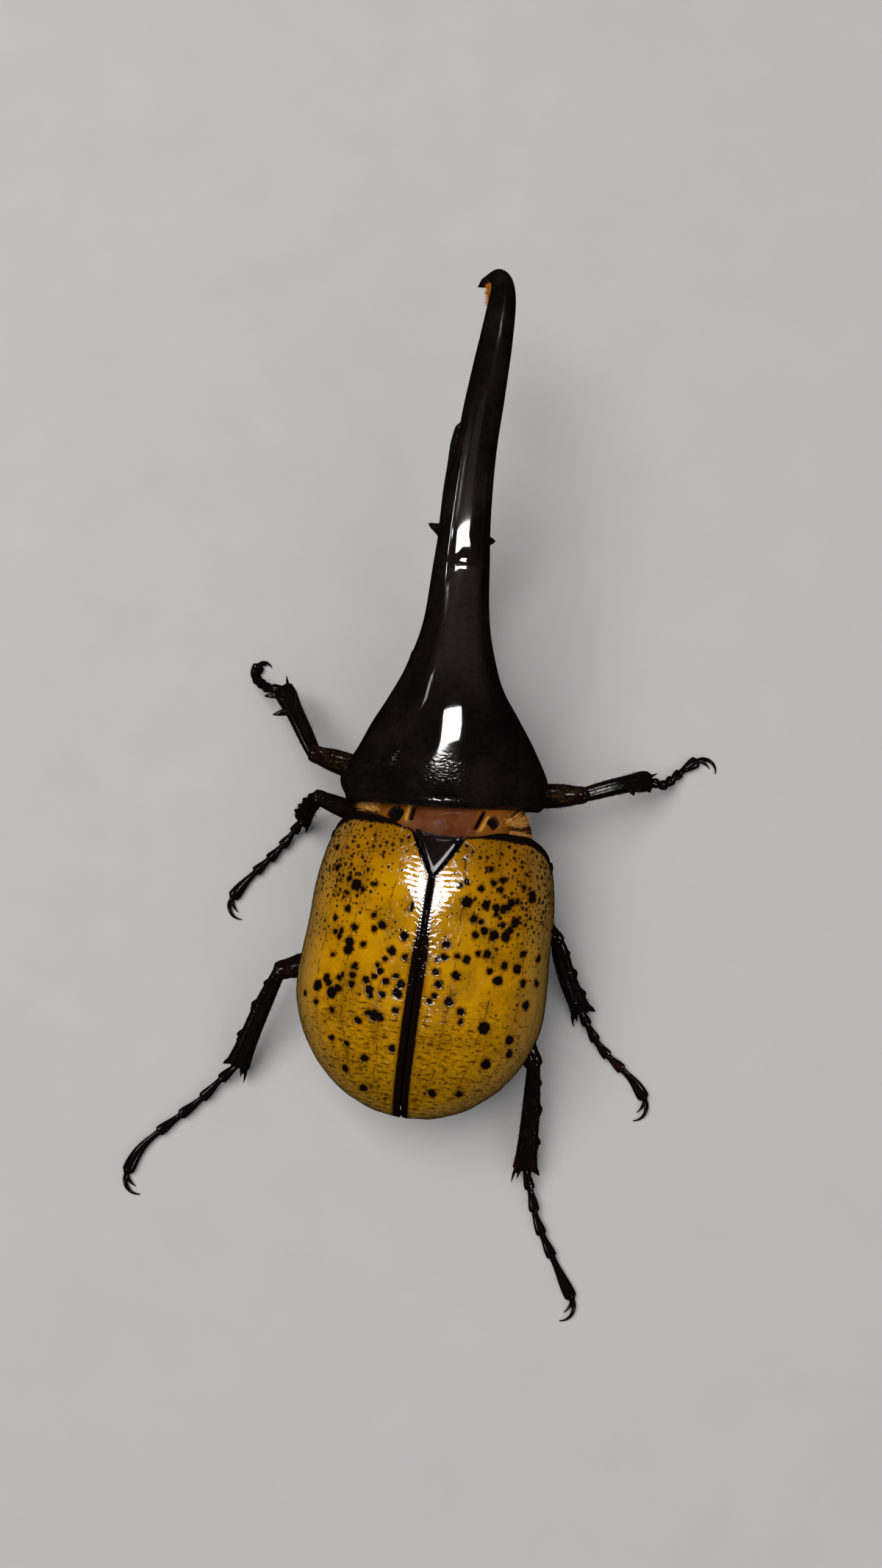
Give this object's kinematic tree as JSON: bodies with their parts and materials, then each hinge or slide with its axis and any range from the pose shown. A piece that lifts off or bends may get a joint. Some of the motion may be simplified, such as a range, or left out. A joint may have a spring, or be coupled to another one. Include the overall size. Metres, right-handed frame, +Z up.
{
  "type": "hercules beetle",
  "caption": "Life-size male hercules beetle with a long hooked horn over a shorter lower horn, spotted ochre wing cases and spread legs, standing still.",
  "frame": {"origin": "centre of the bounding box's footprint, on the floor that the feet stand on", "axes": "+Z up, the head and horns point to -Y, the beetle's left side is +X"},
  "size_m": [0.1098, 0.184, 0.0404],
  "materials": {
    "black_shell": "very dark brown-black horn-like shell, polished",
    "olive_case": "ochre-yellow wing case with black spots, clear gloss",
    "brown_neck": "smooth red-brown shell, semi-gloss",
    "brown_shell": "dark brown limb shell with fine golden hair, semi-gloss",
    "eye_black": "black eye, glassy gloss"
  },
  "bodies": {
    "root": {"antenna_left": "brown_shell", "antenna_right": "brown_shell", "belly": "black_shell", "chest": "black_shell", "eye_left": "eye_black", "eye_right": "eye_black", "foot_front_left": "black_shell", "foot_front_right": "black_shell", "foot_hind_left": "black_shell", "foot_hind_right": "black_shell", "foot_middle_left": "black_shell", "foot_middle_right": "black_shell", "fore_body": "black_shell", "great_horn": "black_shell", "head": "black_shell", "hip_front_left": "black_shell", "hip_front_right": "black_shell", "hip_hind_left": "black_shell", "hip_hind_right": "black_shell", "hip_middle_left": "black_shell", "hip_middle_right": "black_shell", "jaw_left": "black_shell", "jaw_right": "black_shell", "lower_horn": "black_shell", "neck_collar": "brown_neck", "palp_left": "brown_shell", "palp_right": "brown_shell", "shield": "black_shell", "shin_front_left": "black_shell", "shin_front_right": "black_shell", "shin_hind_left": "black_shell", "shin_hind_right": "black_shell", "shin_middle_left": "black_shell", "shin_middle_right": "black_shell", "snout": "black_shell", "thigh_front_left": "brown_shell", "thigh_front_right": "brown_shell", "thigh_hind_left": "brown_shell", "thigh_hind_right": "brown_shell", "thigh_middle_left": "brown_shell", "thigh_middle_right": "brown_shell", "wing_case_left": "olive_case", "wing_case_right": "olive_case"}
  },
  "joints": []
}
